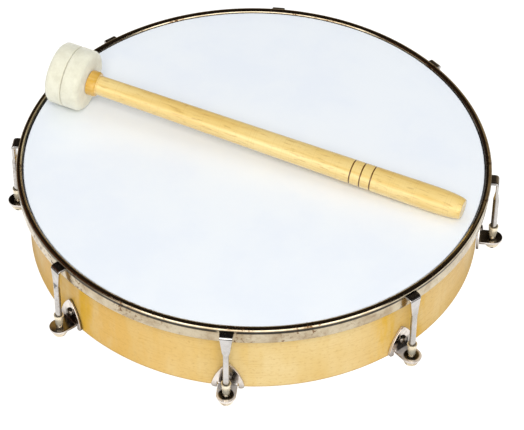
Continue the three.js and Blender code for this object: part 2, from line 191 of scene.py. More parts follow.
class Wire:
    """A value in a node tree. Writing it into an expression adds the Math nodes."""

    def __init__(self, graph, socket):
        self.graph = graph
        self.socket = socket

    def __add__(self, other):
        return self.graph.maths("ADD", self, other)

    def __radd__(self, other):
        return self.graph.maths("ADD", other, self)

    def __sub__(self, other):
        return self.graph.maths("SUBTRACT", self, other)

    def __rsub__(self, other):
        return self.graph.maths("SUBTRACT", other, self)

    def __mul__(self, other):
        return self.graph.maths("MULTIPLY", self, other)

    def __rmul__(self, other):
        return self.graph.maths("MULTIPLY", other, self)

    def __truediv__(self, other):
        return self.graph.maths("DIVIDE", self, other)

    def __rtruediv__(self, other):
        return self.graph.maths("DIVIDE", other, self)

    def __pow__(self, other):
        return self.graph.maths("POWER", self, other)

    def __rpow__(self, other):
        return self.graph.maths("POWER", other, self)

    def output(self, name):
        """Another output of the same node."""
        return Wire(self.graph, self.socket.node.outputs[name])

    def sine(self):
        return self.graph.maths("SINE", self)

    def magnitude(self):
        return self.graph.maths("ABSOLUTE", self)

    def or_higher(self, other):
        return self.graph.maths("MAXIMUM", self, other)

    def between(self, low, high, start=0.0, end=1.0):
        """Smooth step of this value from start at low to end at high."""
        settings = {"interpolation_type": "SMOOTHSTEP"}
        inputs = {"Value": self, "From Min": low, "From Max": high, "To Min": start, "To Max": end}
        return self.graph.node("ShaderNodeMapRange", settings, inputs)

    def until(self, low, high):
        """Smooth step of this value from 1 at low to 0 at high."""
        return self.between(low, high, 1.0, 0.0)


class Graph:
    """A node tree whose nodes all come from one method."""

    def __init__(self, tree):
        self.tree = tree

    def node(self, kind, settings=None, inputs=None, output=0):
        """A new node with its settings, then its sockets' values or links, as a wire from one output."""
        made = self.tree.nodes.new(kind)
        for name, value in (settings or {}).items():
            setattr(made, name, value)
        for key, value in (inputs or {}).items():
            self.feed(made.inputs[key], value)
        return Wire(self, made.outputs[output]) if made.outputs else None

    def feed(self, socket, value):
        if isinstance(value, Wire):
            self.tree.links.new(value.socket, socket)
        else:
            socket.default_value = value

    def maths(self, operation, *values):
        return self.node("ShaderNodeMath", {"operation": operation}, dict(enumerate(values)))

    def parts(self, vector):
        """A vector's x, y and z."""
        split = self.node("ShaderNodeSeparateXYZ", None, {"Vector": vector})
        return [split.output(axis) for axis in "XYZ"]

    def length(self, vector):
        return self.node("ShaderNodeVectorMath", {"operation": "LENGTH"}, {0: vector}, "Value")

    def heading(self, vector, aside, back):
        """How far a vector, seen from above, points in a level direction: from -1 to 1."""
        x, y, _ = self.parts(vector)
        return (x * aside + y * back) / self.length(self.place(vector, (1, 1, 0)))

    def mix(self, factor, first, second):
        """A colour between two colours."""
        inputs = {0: factor, 6: first, 7: second}
        return self.node("ShaderNodeMix", {"data_type": "RGBA", "clamp_factor": True}, inputs, 2)

    def layers(self, base, *coats):
        """A colour with others laid over it in turn, each by its own factor."""
        for factor, colour in coats:
            base = self.mix(factor, base, colour)
        return base

    def noise(self, vector, scale, detail, roughness):
        inputs = {"Vector": vector, "Scale": scale, "Detail": detail, "Roughness": roughness}
        return self.node("ShaderNodeTexNoise", None, inputs)

    def place(self, vector, scale, turn=(0, 0, 0)):
        return self.node("ShaderNodeMapping", None, {"Vector": vector, "Scale": scale, "Rotation": turn})

    def end_in_copies(self, finish, **inputs):
        """Ends a tree with copies of a piece on points, as one plain mesh in its finish."""
        placed = self.node("GeometryNodeInstanceOnPoints", None, inputs)
        real = self.node("GeometryNodeRealizeInstances", None, {"Geometry": placed})
        dressed = self.node("GeometryNodeSetMaterial", None, {"Geometry": real, "Material": finish})
        self.node("NodeGroupOutput", None, {"Copies": dressed})

    def grain(self, vector, scale, detail, roughness, turn=(0, 0, 0)):
        """Noise with a scale of its own along each axis."""
        return self.noise(self.place(vector, scale, turn), 1.0, detail, roughness)


class Finish(Graph):
    """A material with one Principled shader."""

    def __init__(self, name, **sockets):
        self.material = bpy.data.materials.new(name)
        self.material.use_nodes = True
        super().__init__(self.material.node_tree)
        self.shader = self.tree.nodes["Principled BSDF"]
        self.set(sockets)

    def set(self, sockets):
        for name, value in sockets.items():
            self.feed(self.shader.inputs[name], value)

    def object_place(self):
        return self.node("ShaderNodeTexCoord", output="Object")

    def flat_place(self):
        return self.place(self.object_place(), (1, 1, 0))

    def surface_place(self):
        return self.node("ShaderNodeUVMap", {"uv_map": "surface"})

    def mark(self, name, output="Fac"):
        return self.node("ShaderNodeAttribute", {"attribute_name": name}, output=output)

    def finished(self, base, rough, height, strength, distance):
        """The material with its colour and roughness, and its bump from a height."""
        inputs = {"Height": height, "Strength": strength, "Distance": distance}
        bump = self.node("ShaderNodeBump", None, inputs)
        self.set({"Base Color": base, "Roughness": rough, "Normal": bump})
        return self.material


def rgb(red, green, blue):
    """A linear colour from sRGB levels of 0 to 255."""
    def linear(level):
        share = level / 255
        return share / 12.92 if share <= 0.04045 else ((share + 0.055) / 1.055) ** 2.4
    return (linear(red), linear(green), linear(blue), 1.0)


# Finishes


def maple_finish():
    """Lacquered maple ply: mottled grain, warmer, darker sides as painted shade, a painted amber shadow
    by each hook, plies on the edges.
    """
    finish = Finish("maple_ply", **{"Coat Weight": 0.15, "Coat Roughness": 0.08, "Coat IOR": 1.4})
    finish.set({"Specular IOR Level": 0.1})
    along = finish.surface_place()
    grain = finish.grain(along, (30, 900, 1), 4.0, 0.6)
    mottle = finish.grain(along, (420, 700, 1), 4.0, 0.7)
    clouds = finish.grain(along, (34, 16, 1), 3.0, 0.55)
    streaks = finish.grain(along, (120, 26, 1), 3.0, 0.6)
    radius = finish.length(finish.flat_place())
    plies = (radius * (FULL_TURN / PLY_THICKNESS)).sine().between(-0.2, 0.4)
    base = finish.layers(
        rgb(226, 202, 146),
        (clouds.between(0.3, 0.72), rgb(216, 182, 111)),
        # Painted shade on the sides.
        (finish.mark("side_shade") * streaks.between(0.3, 0.6, 0.5, 0.9), rgb(219, 172, 82)),
        # Painted amber shadow of each hook on the lacquer.
        (finish.mark("amber") * streaks.between(0.35, 0.65, 0.2, 1.0), rgb(222, 172, 32)),
        (grain.between(0.48, 0.8) * 0.3, rgb(184, 134, 52)),
        (mottle.between(0.5, 0.75) * 0.45, rgb(180, 130, 54)),
        (finish.mark("edge") * (plies * 0.4 + 0.3), rgb(150, 104, 54)),
    )
    rough = grain.between(0.3, 0.8, 0.36, 0.52)
    return finish.finished(base, rough, grain * 0.6 + mottle * 0.4, 0.25, 0.08 * MM)


def film_finish():
    """Milky plastic film with a faint cloudiness and a soft sheen."""
    finish = Finish("head_film", **{"Specular IOR Level": 0.4})
    where = finish.object_place()
    cloud = finish.noise(where, 22.0, 4.0, 0.6)
    grain = finish.noise(where, 2600.0, 2.0, 0.5)
    base = finish.layers(
        rgb(247, 250, 252),
        (cloud.between(0.35, 0.7), rgb(242, 246, 251)),
        (grain.between(0.5, 0.75) * 0.2, rgb(231, 236, 245)),
    )
    rough = cloud.between(0.3, 0.7, 0.38, 0.48)
    return finish.finished(base, rough, grain, 0.12, 0.05 * MM)


def shelf_reflection(finish):
    """Painted dark reflection of the shelf on the middle of a lug's plate, just above the shelf."""
    outwards, across, height = finish.parts(finish.mark("stamped_at", "Vector"))
    on_plate = outwards.until(LUG_FRONT + 0.3 * MM, LUG_FRONT + 1.2 * MM)
    inside = across.magnitude().until(3.2 * MM, 5.2 * MM)
    return on_plate * inside * height.between(SHELF_TOP + 4.5 * MM, SHELF_TOP + 8 * MM, 0.95, 0.0)


def lit_shelf_rims(finish):
    """Painted highlights on the rims of the shelves at the front and the front right."""
    outwards, across, _ = finish.parts(finish.mark("stamped_at", "Vector"))
    from_axis = outwards - SCREW_CIRCLE
    from_hole = (from_axis * from_axis + across * across) ** 0.5
    facing = finish.heading(finish.object_place(), 0.38, -0.92).between(0.6, 0.85)
    return facing * from_hole.between(3.7 * MM, 4.7 * MM)


def bead_inside_shade(finish):
    """Painted shade on the inner side of the hoop's bead, round the front and the sides of the drum."""
    where = finish.flat_place()
    by_film = finish.length(where).between(BEAD_INNER + 0.4 * MM, BEAD_INNER + 1 * MM, 0.9, 0.0)
    return by_film * finish.heading(where, 0, 1).until(0.5, 0.85)


def nickel_finish(name, tint, stain, gloss, tarnish, metallic=1.0, extra_shade=None, highlighted=None):
    """Nickel plate: a metal tint with fine polishing streaks, specks of tarnish, and painted shade and
    dark reflections where a piece's marks put them.

    Two rules can add painted shade at other places, and paint highlights that lift it off again to a
    bright, less mirroring metal.
    """
    finish = Finish(name, Metallic=metallic)
    where = finish.object_place()
    streaks = finish.grain(where, (900, 900, 120), 3.0, 0.6)
    haze = finish.noise(where, 90.0, 4.0, 0.65)
    specks = finish.noise(where, 420.0, 4.0, 0.65)
    patches = finish.noise(where, 38.0, 3.0, 0.6)
    spots = specks.between(0.5, 0.64) * patches.between(0.46, 0.62) * tarnish
    # Painted shade and dark reflections, from each piece's marks.
    shade_mask = finish.mark("painted_shade")
    # Painted highlight: where the rule says, the painted shade is lifted and the metal made bright and
    # less mirroring.
    if highlighted:
        highlight = shade_mask * highlighted(finish)
        shade_mask = shade_mask - highlight * 0.97
        finish.set({"Metallic": metallic - highlight * 0.7})
    if extra_shade:
        shade_mask = shade_mask.or_higher(extra_shade(finish))
    shade_mask = shade_mask * patches.between(0.3, 0.45, 0.55, 1.0)
    base = finish.layers(
        tint,
        (haze.between(0.35, 0.68), stain),
        (spots, rgb(112, 76, 40)),
        (shade_mask, rgb(26, 19, 13)),
    )
    rough = haze.between(0.3, 0.75, gloss, gloss + 0.08) + streaks.between(0.4, 0.8) * 0.05
    rough = rough + spots * 0.3 + shade_mask * 0.12
    return finish.finished(base, rough, streaks * 0.5 + specks * 0.5, 0.06, 0.03 * MM)


def aluminium_finish():
    """Rolled aluminium with lines along the channel."""
    finish = Finish("rolled_aluminium", Metallic=1.0)
    lines = finish.grain(finish.surface_place(), (6, 5000, 1), 3.0, 0.6)
    base = finish.mix(lines.between(0.35, 0.7), rgb(190, 191, 193), rgb(160, 161, 164))
    rough = lines.between(0.3, 0.7, 0.3, 0.45)
    return finish.finished(base, rough, lines, 0.1, 0.03 * MM)


def beech_finish():
    """Turned and varnished beech: grain and flecks along the handle, lathe rings, dark grooves."""
    finish = Finish("varnished_beech", **{"Coat Weight": 0.8, "Coat Roughness": 0.22, "Coat IOR": 1.5})
    local = finish.mark("turned_at", "Vector")
    grain = finish.grain(local, (420, 420, 9), 4.0, 0.6)
    flecks = finish.grain(local, (900, 900, 150), 2.0, 0.5)
    clouds = finish.grain(local, (60, 60, 14), 3.0, 0.55)
    rings = finish.grain(local, (4, 4, 1500), 2.0, 0.5)
    base = finish.layers(
        rgb(245, 217, 144),
        (clouds.between(0.3, 0.7), rgb(236, 198, 110)),
        (grain.between(0.42, 0.72) * 0.5, rgb(220, 172, 76)),
        (flecks.between(0.54, 0.74) * 0.4, rgb(176, 124, 48)),
        (rings.between(0.5, 0.75) * 0.22, rgb(190, 138, 56)),
        (finish.mark("amber") * grain.between(0.3, 0.6, 0.5, 0.9), rgb(212, 160, 40)),
        (finish.mark("stain"), rgb(112, 76, 26)),
    )
    rough = grain.between(0.3, 0.8, 0.32, 0.46)
    return finish.finished(base, rough, grain * 0.5 + rings * 0.5, 0.18, 0.06 * MM)


def felt_finish():
    """Pressed ivory wool: matted fibres, soft lumps and a darker seam."""
    finish = Finish("wool_felt", **{"Sheen Weight": 0.5, "Sheen Roughness": 0.6})
    finish.set({"Specular IOR Level": 0.15})
    where = finish.object_place()
    lumps = finish.noise(where, 160.0, 3.0, 0.6)
    matting = finish.noise(where, 900.0, 4.0, 0.7)
    fibres = finish.grain(where, (2600, 700, 2600), 2.0, 0.6, (0.4, 0.7, 0.2))
    base = finish.layers(
        rgb(238, 234, 211),
        (lumps.between(0.3, 0.7), rgb(225, 220, 195)),
        (matting.between(0.5, 0.8) * 0.35, rgb(216, 208, 184)),
        (finish.mark("seam") * 0.2, rgb(214, 208, 184)),
    )
    height = matting * 0.5 + fibres * 0.3 + lumps * 0.4
    return finish.finished(base, 0.95, height, 0.5, 0.35 * MM)


# Meshes


def arc(centre_x, centre_y, radius, start, end, steps, height=None):
    """Points of an arc in a profile, between two angles in degrees. A height makes it elliptical."""
    angles = np.radians(np.linspace(start, end, steps + 1))
    rise = height or radius
    return [(centre_x + radius * math.cos(a), centre_y + rise * math.sin(a)) for a in angles]


def line(start, end, steps):
    """Points between two points of a profile, without the last."""
    return [tuple(np.array(start) + (np.array(end) - np.array(start)) * i / steps) for i in range(steps)]


def scene_object(name, data):
    """A new object of the scene."""
    made = bpy.data.objects.new(name, data)
    bpy.context.scene.collection.objects.link(made)
    return made


def shade(mesh, smooth):
    """Smooth shading, with sharp edges over an angle in degrees."""
    mesh.shade_smooth()
    mesh.set_sharp_from_angle(angle=math.radians(smooth))


def add_mark(mesh, name, values):
    """Gives each point of a mesh a number or a vector."""
    values = np.array(values, dtype=np.float32)
    kind, field = ("FLOAT", "value") if values.ndim == 1 else ("FLOAT_VECTOR", "vector")
    mesh.attributes.new(name, kind, "POINT").data.foreach_set(field, values.ravel())


def mesh_object(name, points, faces, surface=None, marks=None, smooth=30):
    """A new object with its mesh, its surface map by face corner and its marks by point."""
    mesh = bpy.data.meshes.new(name)
    mesh.from_pydata([tuple(p) for p in points], [], faces)
    if surface is not None:
        layer = mesh.uv_layers.new(name="surface")
        layer.data.foreach_set("uv", np.array(surface, dtype=np.float32).ravel())
    for mark, values in (marks or {}).items():
        add_mark(mesh, mark, values)
    shade(mesh, smooth)
    return scene_object(name, mesh)


def tube_faces(rings, size):
    """Faces of a closed tube through rings of points, with a cap at each end."""
    last = (rings - 1) * size
    faces = [list(range(size - 1, -1, -1)), list(range(last, last + size))]
    for first in range(0, last, size):
        for k in range(size):
            a = first + k
            b = first + (k + 1) % size
            faces.append([a, b, b + size, a + size])
    return faces


def turned(name, profile, steps, marks=None, place=None, smooth=30):
    """A turned solid. Its profile of radius and height runs out along the bottom, up and back in."""
    on_axis = [radius < 1e-7 for radius, _ in profile]
    is_ring = not (on_axis[0] and on_axis[-1])
    lengths = [0.0]
    for before, after in zip(profile, profile[1:] + profile[:1]):
        lengths.append(lengths[-1] + math.dist(before, after))
    reference = max(radius for radius, _ in profile)
    points = []
    firsts = []
    rows = []
    for row, (radius, height) in enumerate(profile):
        firsts.append(len(points))
        for k in range(1 if on_axis[row] else steps):
            angle = FIRST_ANGLE + FULL_TURN * k / steps
            points.append((radius * math.cos(angle), radius * math.sin(angle), height))
            rows.append(row)
    faces = []
    surface = []
    for row in range(len(profile) if is_ring else len(profile) - 1):
        after = (row + 1) % len(profile)
        for k in range(steps):
            corners = [(row, k), (row, k + 1), (after, k + 1), (after, k)]
            if on_axis[row]:
                corners.pop(1)
            elif on_axis[after]:
                corners.pop(2)
            faces.append([firsts[r] if on_axis[r] else firsts[r] + c % steps for r, c in corners])
            for r, c in corners:
                run = lengths[row + 1] if r == after else lengths[row]
                surface.append((reference * FULL_TURN * c / steps, run))
    point_marks = {mark: [values[row] for row in rows] for mark, values in (marks or {}).items()}
    if place is not None:
        point_marks["turned_at"] = points
        points = [place @ Vector(p) for p in points]
    return mesh_object(name, points, faces, surface, point_marks, smooth)


def settle(obj, smooth=None):
    """Turns an object's modifiers into a plain mesh."""
    graph = bpy.context.evaluated_depsgraph_get()
    mesh = bpy.data.meshes.new_from_object(obj.evaluated_get(graph))
    obj.modifiers.clear()
    obj.data = mesh
    if smooth is not None:
        shade(mesh, smooth)
    return obj


def cut(obj, tools):
    """Cuts each tool out of a piece and removes the tool."""
    for tool in tools:
        modifier = obj.modifiers.new("cut", "BOOLEAN")
        modifier.object = tool
        modifier.solver = "EXACT"
        modifier.operation = "DIFFERENCE"
    settle(obj, 30)
    for tool in tools:
        bpy.data.objects.remove(tool)


def mark_points(obj, name, rule):
    """Gives each point of a finished mesh a mark that depends on its place."""
    add_mark(obj.data, name, [rule(vertex.co) for vertex in obj.data.vertices])


def block(name, low, high, turn=0.0):
    """A box between two corners, turned about the drum's axis."""
    corners = product(*zip(low, high))
    faces = [(0, 1, 3, 2), (4, 6, 7, 5), (0, 4, 5, 1), (2, 3, 7, 6), (0, 2, 6, 4), (1, 5, 7, 3)]
    about = Matrix.Rotation(turn, 3, "Z")
    return mesh_object(name, [about @ Vector(c) for c in corners], faces)


def join(name, objects):
    """One object from several, as separate shells in one mesh."""
    with bpy.context.temp_override(active_object=objects[0], selected_editable_objects=objects):
        bpy.ops.object.join()
    objects[0].name = name
    return objects[0]


def hook_angle(index):
    return FIRST_ANGLE + STATION_ANGLE * index


# Copies round the drum, by Geometry Nodes


def open_tree(name, inputs):
    """A new tree of copies for a modifier, with its inputs as wires by name."""
    tree = bpy.data.node_groups.new(name, "GeometryNodeTree")
    tree.is_modifier = True
    for label, kind in inputs.items():
        tree.interface.new_socket(label, in_out="INPUT", socket_type=f"NodeSocket{kind}")
    tree.interface.new_socket("Copies", in_out="OUTPUT", socket_type="NodeSocketGeometry")
    graph = Graph(tree)
    asked = graph.node("NodeGroupInput")
    return graph, {label: asked.output(label) for label in inputs}


def around_drum_tree():
    """Copies of a piece made at angle 0, turned about the drum's axis, as one plain mesh."""
    inputs = {"Piece": "Geometry", "Count": "Int", "First angle": "Float", "Step angle": "Float",
              "Finish": "Material"}
    graph, given = open_tree("around_drum", inputs)
    points = graph.node("GeometryNodePoints", None, {"Count": given["Count"]})
    angle = graph.node("GeometryNodeInputIndex") * given["Step angle"] + given["First angle"]
    turn = graph.node("ShaderNodeCombineXYZ", None, {"Z": angle})
    graph.end_in_copies(given["Finish"], Points=points, Instance=given["Piece"], Rotation=turn)
    return graph.tree


def run_tree(obj, tree, values):
    """Turns an object into what a tree makes of it. Inputs go by their sockets' identifiers."""
    modifier = obj.modifiers.new(tree.name, "NODES")
    modifier.node_group = tree
    for item in tree.interface.items_tree:
        if item.item_type == "SOCKET" and item.in_out == "INPUT" and item.name in values:
            modifier[item.identifier] = values[item.name]
    return settle(obj)


def around_drum(obj, finish, count=HOOK_COUNT, first=FIRST_ANGLE):
    run_tree(obj, copies_tree, {"Count": count, "First angle": first, "Step angle": STATION_ANGLE,
                                "Finish": finish})


# Pieces


def dress(obj, finish, body, slot, *nodes):
    """Gives a piece its finish and body, and hides the solids it stands for. Its slot is not used."""
    obj.data.materials.clear()
    obj.data.materials.append(finish)
    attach(obj, body)
    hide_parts(*nodes)


def dress_copies(obj, finish, body, node):
    """Copies a piece round the drum, to stand for a set of numbered solids."""
    around_drum(obj, finish)
    dress(obj, finish, body, "nickel", *[f"{node}_{index + 1}" for index in range(HOOK_COUNT)])


def make_shell():
    """Bent ply ring with a round foot, and a bearing edge rounded outside and chamfered inside."""
    crest = SHELL_RADIUS - BEARING_ROUND
    chamfer = crest - BEARING_FLAT - SHELL_INNER
    wall_rows = 10
    foot_in = SHELL_INNER + FOOT_ROUND
    foot_out = SHELL_RADIUS - FOOT_ROUND
    foot_height = SHELL_BOTTOM + FOOT_ROUND
    edge_fade = 0.4 * MM
    foot = arc(foot_in, foot_height, FOOT_ROUND, 180, 270, 8)
    foot += arc(foot_out, foot_height, FOOT_ROUND, 270, 360, 8)
    wall_top = SHELL_TOP - BEARING_ROUND
    outside = line((SHELL_RADIUS, foot_height + edge_fade), (SHELL_RADIUS, wall_top), wall_rows)
    bearing = arc(crest, wall_top, BEARING_ROUND, 0, 90, 10)
    bearing.append((crest - BEARING_FLAT, SHELL_TOP))
    inside = line((SHELL_INNER, SHELL_TOP - chamfer), (SHELL_INNER, foot_height), wall_rows)
    profile = foot + outside + bearing + inside
    edge = [1.0] * len(foot) + [0.0] * len(outside) + [1.0] * len(bearing) + [0.0] * len(inside)
    edge[0] = 0.0

    # Painted shadow of the hooks: amber beside each hook, stronger towards the sides.
    def hook_shadow_at(point):
        if point.xy.length <= foot_out:
            return 0.0
        half = STATION_ANGLE / 2
        turn = (math.atan2(point.y, point.x) - FIRST_ANGLE + half) % STATION_ANGLE - half
        by_hook = np.interp(abs(math.degrees(turn)), (1, 4, 6, 10), (0.2, 0.9, 0.75, 0.0))
        return by_hook * np.interp(abs(point.x) / SHELL_RADIUS, (0.2, 0.6), (0.25, 1.0))

    # Painted shade: warmer and darker towards the left side and the right side.
    def side_shade_at(point):
        return np.interp(point.x / SHELL_RADIUS, (-0.5, 0.0, 0.35, 0.75), (1.0, 0.1, 0.0, 0.6))

    shell = turned("shell_ply", profile, RING_STEPS, {"edge": edge})
    mark_points(shell, "amber", hook_shadow_at)
    mark_points(shell, "side_shade", side_shade_at)
    dress(shell, maple_finish(), "shell", "maple", "shell")


def make_head():
    """Film stretched flat over the shell and turned down into its collar."""
    edge = HEAD_RADIUS - FILM_ROUND
    inner_round = FILM_ROUND - FILM_THICKNESS
    collar_inner = HEAD_RADIUS - FILM_THICKNESS
    rings = 14
    under = line((0.0, FILM_TOP - FILM_THICKNESS), (edge, FILM_TOP - FILM_THICKNESS), rings)
    over = line((edge, FILM_TOP), (0.0, FILM_TOP), rings)[1:]
    profile = under
    profile += arc(edge, FILM_BEND, inner_round, 90, 0, 8)
    profile += [(collar_inner, COLLAR_END), (HEAD_RADIUS, COLLAR_END)]
    profile += arc(edge, FILM_BEND, FILM_ROUND, 0, 90, 10)
    profile += over + [(0.0, FILM_TOP)]
    head = turned("head_film", profile, RING_STEPS)
    dress(head, film_finish(), "shell", "film", "drum_head")


def make_flesh_hoop():
    """Aluminium channel round the collar of the film."""
    inner = SHELL_RADIUS + GAP
    slot_inner = inner + CHANNEL_INNER_WALL
    slot_outer = CHANNEL_OUTER - CHANNEL_OUTER_WALL
    floor = CHANNEL_BOTTOM + CHANNEL_FLOOR
    outer_top = CHANNEL_TOP - CHANNEL_OUTER_DROP
    profile = [
        (inner, CHANNEL_BOTTOM), (CHANNEL_OUTER, CHANNEL_BOTTOM), (CHANNEL_OUTER, outer_top),
        (slot_outer, outer_top), (slot_outer, floor), (slot_inner, floor),
        (slot_inner, CHANNEL_TOP), (inner, CHANNEL_TOP),
    ]
    hoop = turned("flesh_hoop_channel", profile, RING_STEPS)
    dress(hoop, aluminium_finish(), "hoop", "aluminium", "flesh_hoop")


def make_tension_hoop():
    """Rolled bead over a plain skirt, with a slot for each hook, and painted shade in the crease under
    the bead.
    """
    middle = (BEAD_INNER + BEAD_OUTER) / 2
    half_width = (BEAD_OUTER - BEAD_INNER) / 2
    half_height = BEAD_HEIGHT / 2
    bead_middle = BEAD_TOP - half_height
    outer_meet = -math.degrees(math.acos((SKIRT_OUTER - middle) / half_width))
    inner_meet = 360 - math.degrees(math.acos((SKIRT_INNER - middle) / half_width))
    bead_steps = 56
    edge = SKIRT_EDGE_ROUND
    foot = arc(SKIRT_INNER + edge, SKIRT_BOTTOM + edge, edge, 180, 270, 5)
    foot += arc(SKIRT_OUTER - edge, SKIRT_BOTTOM + edge, edge, 270, 360, 5)
    bead = arc(middle, bead_middle, half_width, outer_meet, inner_meet, bead_steps, half_height)
    crease_drop = 0.3 * MM
    crease = [(SKIRT_OUTER, bead[0][1] - crease_drop * k) for k in (3, 2, 1)]
    inner_crease = [(SKIRT_INNER, bead[-1][1] - crease_drop)]
    profile = foot + crease + bead + inner_crease
    # Painted shade: dark in the crease and under the bead, fading out up its outer face, and half dark
    # along the skirt's foot.
    step_angle = (inner_meet - outer_meet) / bead_steps
    shaded_below = 2
    unshaded_above = 14
    bead_marks = [np.interp(outer_meet + step_angle * k, (shaded_below, unshaded_above), (1.0, 0.0))
                  for k in range(bead_steps + 1)]
    foot_marks = [0.55 if height < SKIRT_BOTTOM + edge / 2 else 0.0 for _, height in foot]
    marks = foot_marks + [0.0, 0.6, 1.0] + bead_marks + [0.0]
    hoop = turned("tension_hoop_rolled", profile, RING_STEPS, {"painted_shade": marks})
    past_skirt = 1 * MM
    half_slot = HOOK_WIDTH / 2 + GAP
    slot_low = (SKIRT_INNER - past_skirt, -half_slot, LIP_UNDER - GAP)
    slot_high = (SKIRT_OUTER + past_skirt, half_slot, LIP_TOP + GAP)
    cut(hoop, [block("slot", slot_low, slot_high, hook_angle(i)) for i in range(HOOK_COUNT)])
    finish = nickel_finish("hoop_nickel", rgb(199, 186, 161), rgb(172, 154, 126), 0.13, 1.0,
                           extra_shade=bead_inside_shade)
    dress(hoop, finish, "hoop", "nickel", "tension_hoop")


def rounded_section(half_width, half_depth, round_radius, corner_steps=5, support=0.35):
    """Points round a bar with round corners, and a point close to each corner on the flats."""
    points = []
    for quarter, (side_x, side_y) in enumerate(((1, 1), (-1, 1), (-1, -1), (1, -1))):
        centre_x = side_x * (half_width - round_radius)
        centre_y = side_y * (half_depth - round_radius)
        start = 90 * quarter
        corner = arc(centre_x, centre_y, round_radius, start, start + 90, corner_steps)
        reach_x = support * (half_width - round_radius)
        reach_y = support * (half_depth - round_radius)
        before = (corner[0][0], corner[0][1] - side_y * reach_y)
        after = (corner[-1][0] - side_x * reach_x, corner[-1][1])
        if quarter % 2:
            before = (corner[0][0] - side_x * reach_x, corner[0][1])
            after = (corner[-1][0], corner[-1][1] - side_y * reach_y)
        points += [before, *corner, after]
    return points


def make_hooks():
    """Claw hooks: a strip from the slot over the bend, through its shoulders and on as a round rod."""
    half = HOOK_THICKNESS / 2
    bend = HOOK_BEND - half
    lip_middle = LIP_TOP - half
    waist_height = LIP_TOP - HOOK_PLATE
    plate_end = waist_height - HOOK_SHOULDER
    rod = ROD_DIAMETER / 2
    edge = 0.35 * MM
    tip_chamfer = 0.4 * MM
    roundness = 0.95
    bend_steps = 12
    shoulder_steps = 14

    def half_breadth(height):
        return HOOK_WIDTH / 2 + (HOOK_WAIST - HOOK_WIDTH) / 2 * (LIP_TOP - height) / HOOK_PLATE

    # Each section: place along the strip, direction of its outer face, half breadth, half depth, corner
    stations = []
    for radius in (LIP_START, LIP_START + 0.5 * MM, SCREW_CIRCLE - bend - 0.2 * MM):
        stations.append((radius, lip_middle, 90, HOOK_WIDTH / 2, half, edge))
    for k in range(bend_steps + 1):
        angle = 90 - 90 * k / bend_steps
        radius = SCREW_CIRCLE - bend + bend * math.cos(math.radians(angle))
        height = lip_middle - bend + bend * math.sin(math.radians(angle))
        stations.append((radius, height, angle, half_breadth(height), half, edge))
    plate_top = lip_middle - bend
    for height in np.linspace(plate_top, waist_height, 5)[1:]:
        stations.append((SCREW_CIRCLE, height, 0, half_breadth(height), half, edge))
    for k in range(1, shoulder_steps + 1):
        share = k / shoulder_steps
        ease = share * share * (3 - 2 * share)
        breadth = HOOK_WAIST / 2 + (rod - HOOK_WAIST / 2) * ease
        depth = half + (rod - half) * share
        corner = min(edge + (rod - edge) * ease, roundness * breadth, roundness * depth)
        stations.append((SCREW_CIRCLE, waist_height - HOOK_SHOULDER * share, 0, breadth, depth, corner))
    for height in (plate_end - 1 * MM, ROD_END + tip_chamfer):
        stations.append((SCREW_CIRCLE, height, 0, rod, rod, roundness * rod))
    tip = rod - tip_chamfer
    stations.append((SCREW_CIRCLE, ROD_END, 0, tip, tip, roundness * tip))

    points = []
    creases = []
    for radius, height, facing, breadth, depth, corner in stations:
        outwards = (math.cos(math.radians(facing)), math.sin(math.radians(facing)))
        for across, out in rounded_section(breadth, depth, corner):
            points.append((radius + out * outwards[0], across, height + out * outwards[1]))
            # Painted dark reflections across the bend and on the lip's top, and painted shade on the
            # rod's side towards the shell.
            by_bend = np.interp(facing, (0, 7, 16, 22, 50, 80), (0.0, 0.95, 0.95, 0.0, 0.0, 0.5))
            by_shell = np.interp(out, (-0.5 * rod, 0.1 * rod), (0.85, 0.0))
            creases.append(by_bend if height > plate_end else by_shell)
    faces = tube_faces(len(stations), len(points) // len(stations))
    hook = mesh_object("hooks", points, faces, marks={"painted_shade": creases}, smooth=32)
    finish = nickel_finish("hook_nickel", rgb(205, 201, 198), rgb(184, 180, 176), 0.18, 0.3)
    dress_copies(hook, finish, "hoop", "hook")


def make_ferrules():
    """Tapered nuts on the rods, with a flat top ring and a small round at each edge."""
    rod_bore = ROD_DIAMETER / 2 + CLOSE_FIT
    screw_bore = SHANK_DIAMETER / 2 + GAP
    foot_radius = screw_bore + FERRULE_FOOT_WALL
    top_radius = ROD_DIAMETER / 2 + GAP + FERRULE_TOP_WALL
    edge = 0.22 * MM
    profile = [(screw_bore, FERRULE_FOOT)]
    profile += arc(foot_radius - edge, FERRULE_FOOT + edge, edge, -90, -20, 4)
    profile += arc(top_radius - edge, FERRULE_TOP - edge, edge, -20, 90, 6)
    profile += [(rod_bore, FERRULE_TOP), (rod_bore, ROD_END - GAP), (screw_bore, ROD_END - GAP)]
    # Painted shade on the top ring round the rod.
    by_rod = [0.9 if height > ROD_END and radius < top_radius - edge else 0.0
              for radius, height in profile]
    place = Matrix.Translation((SCREW_CIRCLE, 0, 0))
    ferrule = turned("ferrules", profile, ROD_STEPS, {"painted_shade": by_rod}, place)
    finish = nickel_finish("ferrule_nickel", rgb(240, 229, 204), rgb(226, 211, 180), 0.14, 0.4, 0.5)
    dress_copies(ferrule, finish, "hoop", "ferrule")


def make_thread(bottom, top):
    """A right-hand thread as one winding ridge on the shank."""
    root = SHANK_DIAMETER / 2 - THREAD_DEPTH / 2
    steepness = 1.3
    rows = 12 * math.ceil((top - bottom) / THREAD_PITCH)
    points = []
    for row in range(rows + 1):
        height = bottom + (top - bottom) * row / rows
        for k in range(ROD_STEPS):
            phase = (height / THREAD_PITCH - k / ROD_STEPS) % 1.0
            ridge = 1 - abs(2 * phase - 1)
            radius = root + THREAD_DEPTH * min(1.0, steepness * ridge)
            angle = FULL_TURN * k / ROD_STEPS
            points.append((SCREW_CIRCLE + radius * math.cos(angle), radius * math.sin(angle), height))
    return mesh_object("thread", points, tube_faces(rows + 1, ROD_STEPS), smooth=60)


